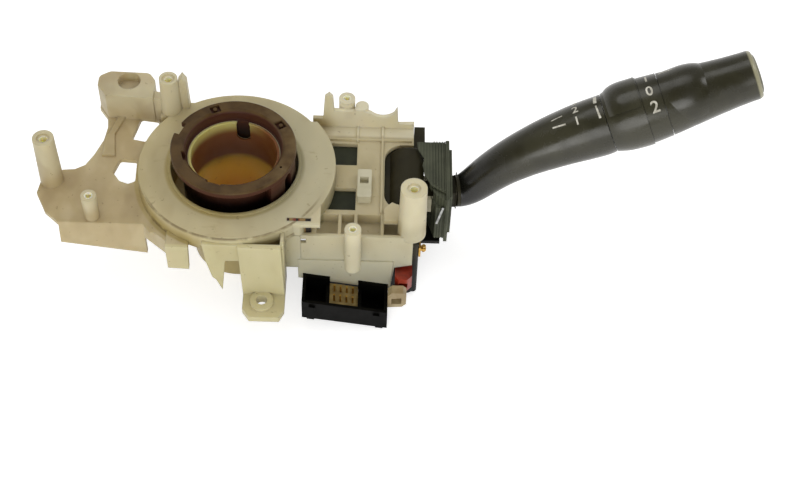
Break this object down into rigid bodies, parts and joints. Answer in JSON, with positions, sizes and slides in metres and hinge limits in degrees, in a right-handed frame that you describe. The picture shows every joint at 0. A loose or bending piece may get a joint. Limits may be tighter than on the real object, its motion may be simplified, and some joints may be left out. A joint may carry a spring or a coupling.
{
  "type": "combination stalk switch",
  "caption": "Steering-column switch bracket with cancel cam, a wiper switch module and connector, and one curved lever with a twist ring and a twist end knob.",
  "frame": {"origin": "on the steering column's axis, level with the lip round the cancel cam", "axes": "+Z along the column towards the driver, +X towards the wiper lever, +Y up across the column; the column tube's end and the module's feet lie at Z -50 mm"},
  "size_m": [0.2975, 0.1003, 0.1037],
  "materials": {
    "nylon": "cream translucent nylon",
    "cam_plastic": "dark brown acetal",
    "switch_plastic": "dark grey-green glass-filled plastic",
    "black_plastic": "black matt plastic",
    "stalk_plastic": "black satin plastic",
    "white_plastic": "white plastic",
    "lock_plastic": "red-brown plastic",
    "holder_plastic": "beige plastic",
    "board": "laminated board",
    "brass": "bare brass",
    "steel": "zinc-plated steel"
  },
  "bodies": {
    "bracket": {"column_bracket": "nylon", "switch_base": "switch_plastic", "switch_cover": "switch_plastic", "contact_board": "board", "contact_tracks": "brass", "detent_track": "white_plastic", "connector_shroud": "black_plastic", "pin_holder": "holder_plastic", "connector_pins": "brass", "terminal_lock": "holder_plastic", "harness_clip": "lock_plastic", "module_clip": "white_plastic", "link_strip": "brass", "ground_terminal": "brass", "cover_screws": "steel", "module_screws": "steel", "washer_spring": "steel"},
    "cam": {"cancel_cam": "cam_plastic"},
    "carrier": {"lever_carrier": "white_plastic", "lever_shield": "switch_plastic", "tilt_pin": "steel", "detent_plunger": "steel", "detent_spring": "steel", "return_leaf": "steel"},
    "lever": {"lever_arm": "switch_plastic", "stalk_tube": "stalk_plastic", "head_spindle": "steel", "marking_sleeve": "stalk_plastic", "contact_discs": "board", "head_detent_balls": "steel", "head_detent_springs": "steel", "spindle_clip": "steel"},
    "interval_ring": {"interval_ring": "stalk_plastic", "ring_wiper": "brass"},
    "end_knob": {"end_knob": "stalk_plastic", "knob_cap": "stalk_plastic", "knob_wiper": "brass"},
    "wiper_slider": {"wiper_slider": "white_plastic", "slider_contacts": "brass"},
    "washer_plunger": {"washer_plunger": "white_plastic"}
  },
  "joints": [
    {"name": "cancel_cam_turn", "type": "hinge", "parent": "bracket", "child": "cam", "pos_m": [0, 0, 0], "axis": [0, 0, 1], "continuous": true},
    {"name": "lever_up_down", "type": "hinge", "parent": "bracket", "child": "carrier", "pos_m": [0.0735, 0, -0.015], "axis": [0, 0, 1], "range_deg": [-19.5, 6]},
    {"name": "lever_pull", "type": "hinge", "parent": "carrier", "child": "lever", "pos_m": [0.0735, 0, -0.015], "axis": [0, -1, 0], "range_deg": [0, 7], "stiffness_Nm_per_rad": 2, "springref_deg": -5.73},
    {"name": "interval_ring_twist", "type": "hinge", "parent": "lever", "child": "interval_ring", "pos_m": [0.15431, 0.00898, 0.0218], "axis": [0.9214, 0.1295, 0.3665], "range_deg": [-40, 40]},
    {"name": "end_knob_twist", "type": "hinge", "parent": "lever", "child": "end_knob", "pos_m": [0.15431, 0.00898, 0.0218], "axis": [0.9214, 0.1295, 0.3665], "range_deg": [-45, 45]},
    {"name": "wiper_slider_travel", "type": "slide", "parent": "bracket", "child": "wiper_slider", "axis": [1, 0, 0], "range_m": [-0.0016, 0.005]},
    {"name": "washer_plunger_travel", "type": "slide", "parent": "bracket", "child": "washer_plunger", "axis": [0, 0, 1], "range_m": [-0.0018, 0], "deforming": ["washer_spring"]}
  ],
  "couplings": [
    {"joint": "wiper_slider_travel", "follows": "lever_up_down", "m_per_rad": -0.0144},
    {"joint": "washer_plunger_travel", "follows": "lever_pull", "m_per_rad": -0.014}
  ]
}
